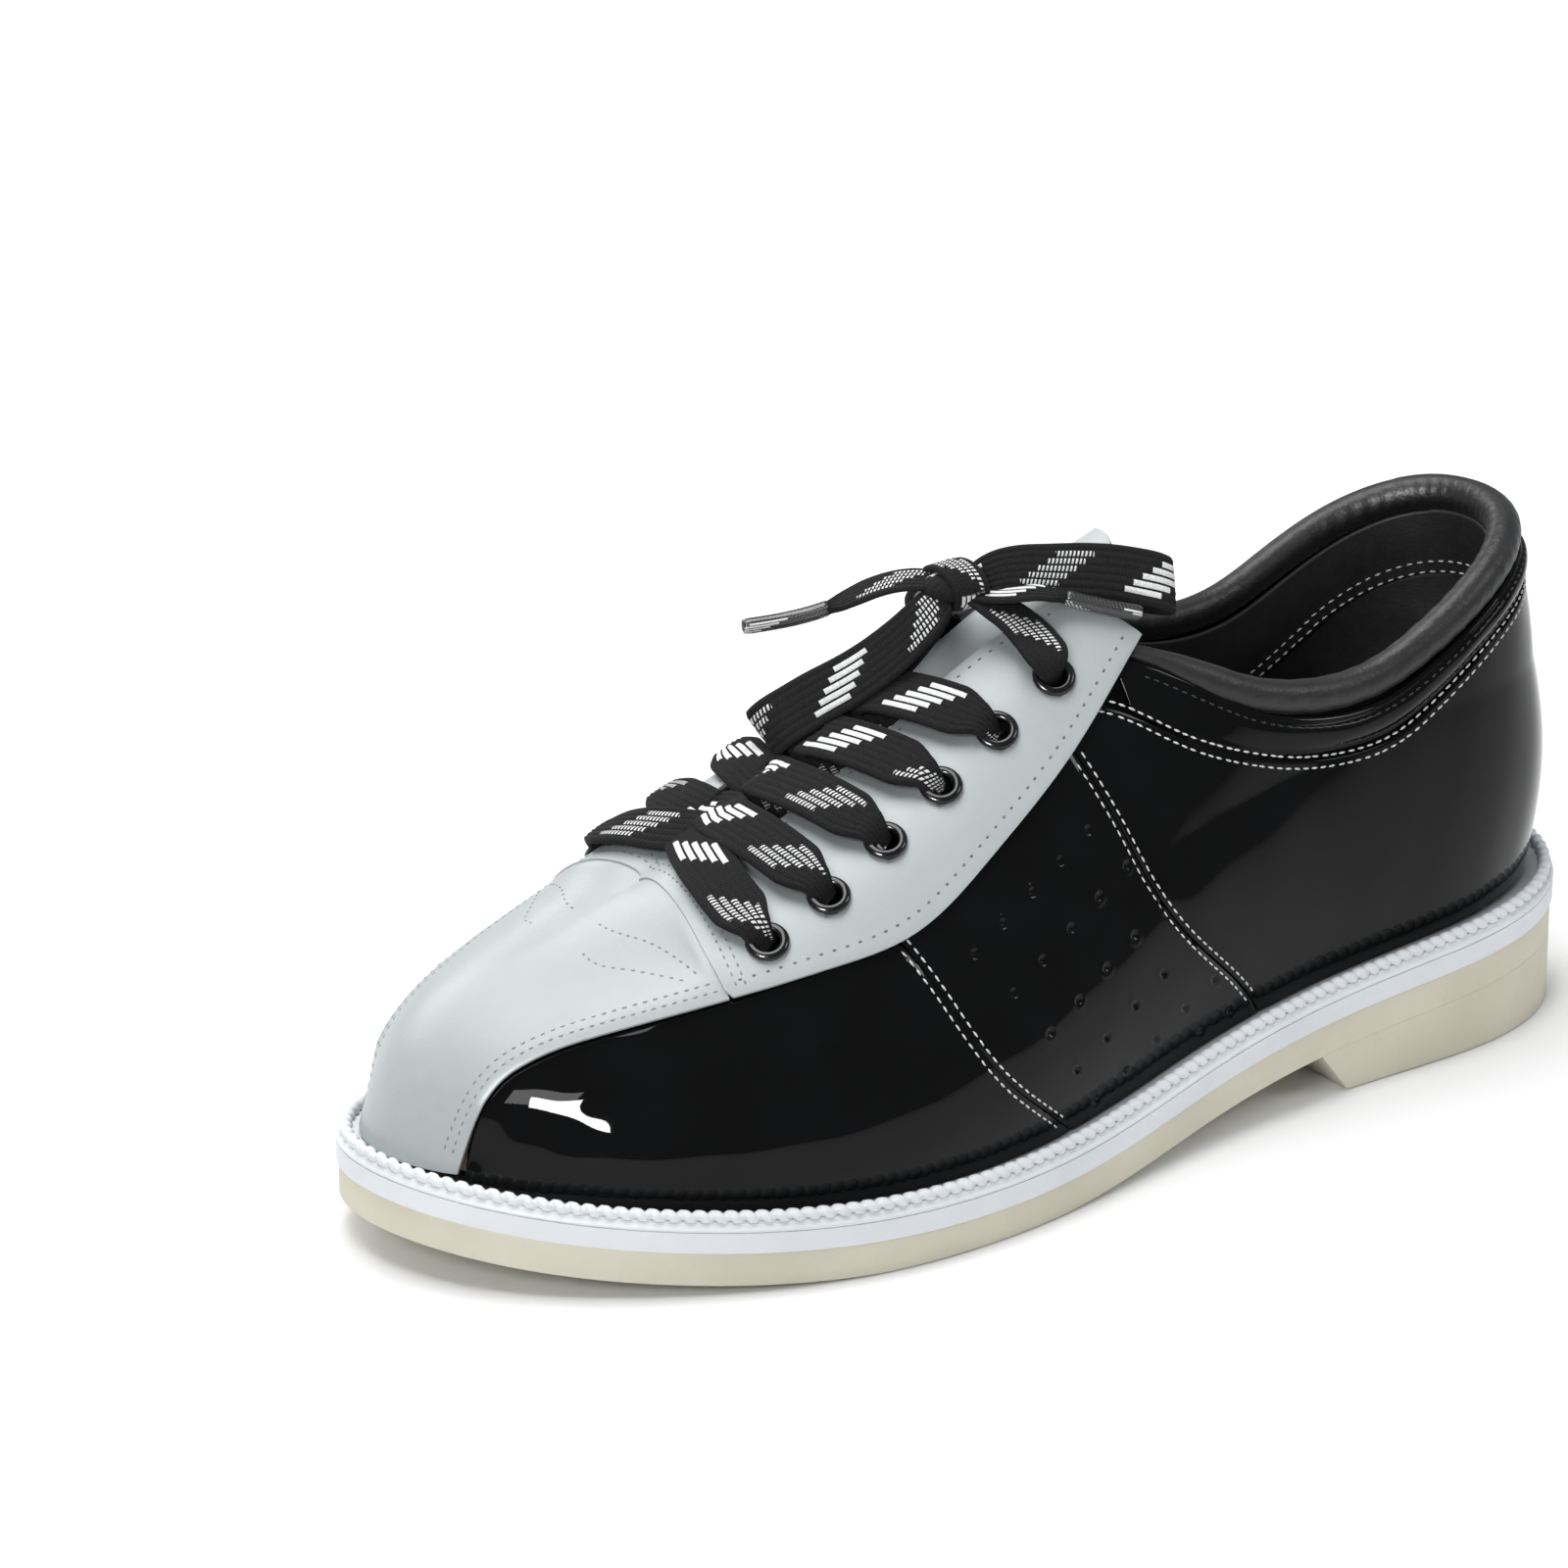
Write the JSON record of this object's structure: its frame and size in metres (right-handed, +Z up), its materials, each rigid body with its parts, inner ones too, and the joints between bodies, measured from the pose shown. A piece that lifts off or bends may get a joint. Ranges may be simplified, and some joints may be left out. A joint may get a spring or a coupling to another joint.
{
  "type": "bowling shoe",
  "caption": "Low laced left bowling shoe with patent side panels, light toe stripe and lace facing, padded collar, welted sole and low heel.",
  "frame": {"origin": "on the floor below the middle of the sole's outline", "axes": "+X from the toe to the heel, +Y towards the inner side of the foot, +Z up; a left shoe"},
  "size_m": [0.297, 0.1133, 0.1262],
  "materials": {
    "patent_black": "black patent leather, mirror gloss",
    "soft_black": "soft black leather, satin",
    "grey_leather": "light grey smooth leather, semi-matte",
    "lining_black": "black lining, matte",
    "white_rubber": "white welt and midsole, semi-matte",
    "cream_rubber": "cream outsole rubber, semi-matte",
    "board": "fibre board, matte",
    "cork": "cork filler, matte",
    "steel": "spring steel shank",
    "foam": "padding foam",
    "eyelet_black": "black lacquered brass, glossy",
    "lace_black": "flat black woven lace with white tracer threads",
    "aglet_clear": "clear lace tip over the lace end"
  },
  "bodies": {
    "shoe": {"outsole": "cream_rubber", "heel_block": "cream_rubber", "midsole": "white_rubber", "welt": "white_rubber", "cork_filler": "cork", "shank": "steel", "insole_board": "board", "toe_puff": "board", "heel_counter": "board", "collar_lining": "lining_black", "vamp_lining": "lining_black", "quarter_lining_outer": "lining_black", "quarter_lining_inner": "lining_black", "forepart_outer": "patent_black", "forepart_inner": "patent_black", "mid_panel_outer": "patent_black", "mid_panel_inner": "patent_black", "quarter_outer": "patent_black", "quarter_inner": "patent_black", "collar_band": "patent_black", "collar_roll": "soft_black", "toe_stripe": "grey_leather", "lace_facing": "grey_leather", "heel_backstay": "grey_leather", "collar_foam": "foam", "eyelet_outer_1": "eyelet_black", "eyelet_outer_2": "eyelet_black", "eyelet_outer_3": "eyelet_black", "eyelet_outer_4": "eyelet_black", "eyelet_outer_5": "eyelet_black", "eyelet_outer_6": "eyelet_black", "eyelet_inner_1": "eyelet_black", "eyelet_inner_2": "eyelet_black", "eyelet_inner_3": "eyelet_black", "eyelet_inner_4": "eyelet_black", "eyelet_inner_5": "eyelet_black", "eyelet_inner_6": "eyelet_black", "lace_bar": "lace_black", "lace_knot": "lace_black", "lace_under_2": "lace_black", "lace_under_3": "lace_black", "lace_under_4": "lace_black", "lace_under_5": "lace_black", "lace_over_2": "lace_black", "lace_over_3": "lace_black", "lace_over_4": "lace_black", "lace_over_5": "lace_black", "lace_loop_outer": "lace_black", "lace_loop_inner": "lace_black", "lace_tail_outer": "lace_black", "lace_tail_inner": "lace_black", "lace_end_outer": "lace_black", "lace_end_inner": "lace_black", "aglet_outer": "aglet_clear", "aglet_inner": "aglet_clear"},
    "tongue": {"tongue_cover": "grey_leather", "tongue_padding": "foam", "tongue_lining": "lining_black"},
    "sock": {"sock_liner": "lining_black"}
  },
  "joints": [
    {"name": "tongue_flex", "type": "hinge", "parent": "shoe", "child": "tongue", "pos_m": [-0.0715, 0.0125, 0.0625], "axis": [0, 1, 0], "range_deg": [0, 8], "stiffness_Nm_per_rad": 0.5},
    {"name": "sock_lift", "type": "hinge", "parent": "shoe", "child": "sock", "pos_m": [-0.1345, 0.0118, 0.0225], "axis": [0, -1, 0], "range_deg": [0, 6]}
  ]
}
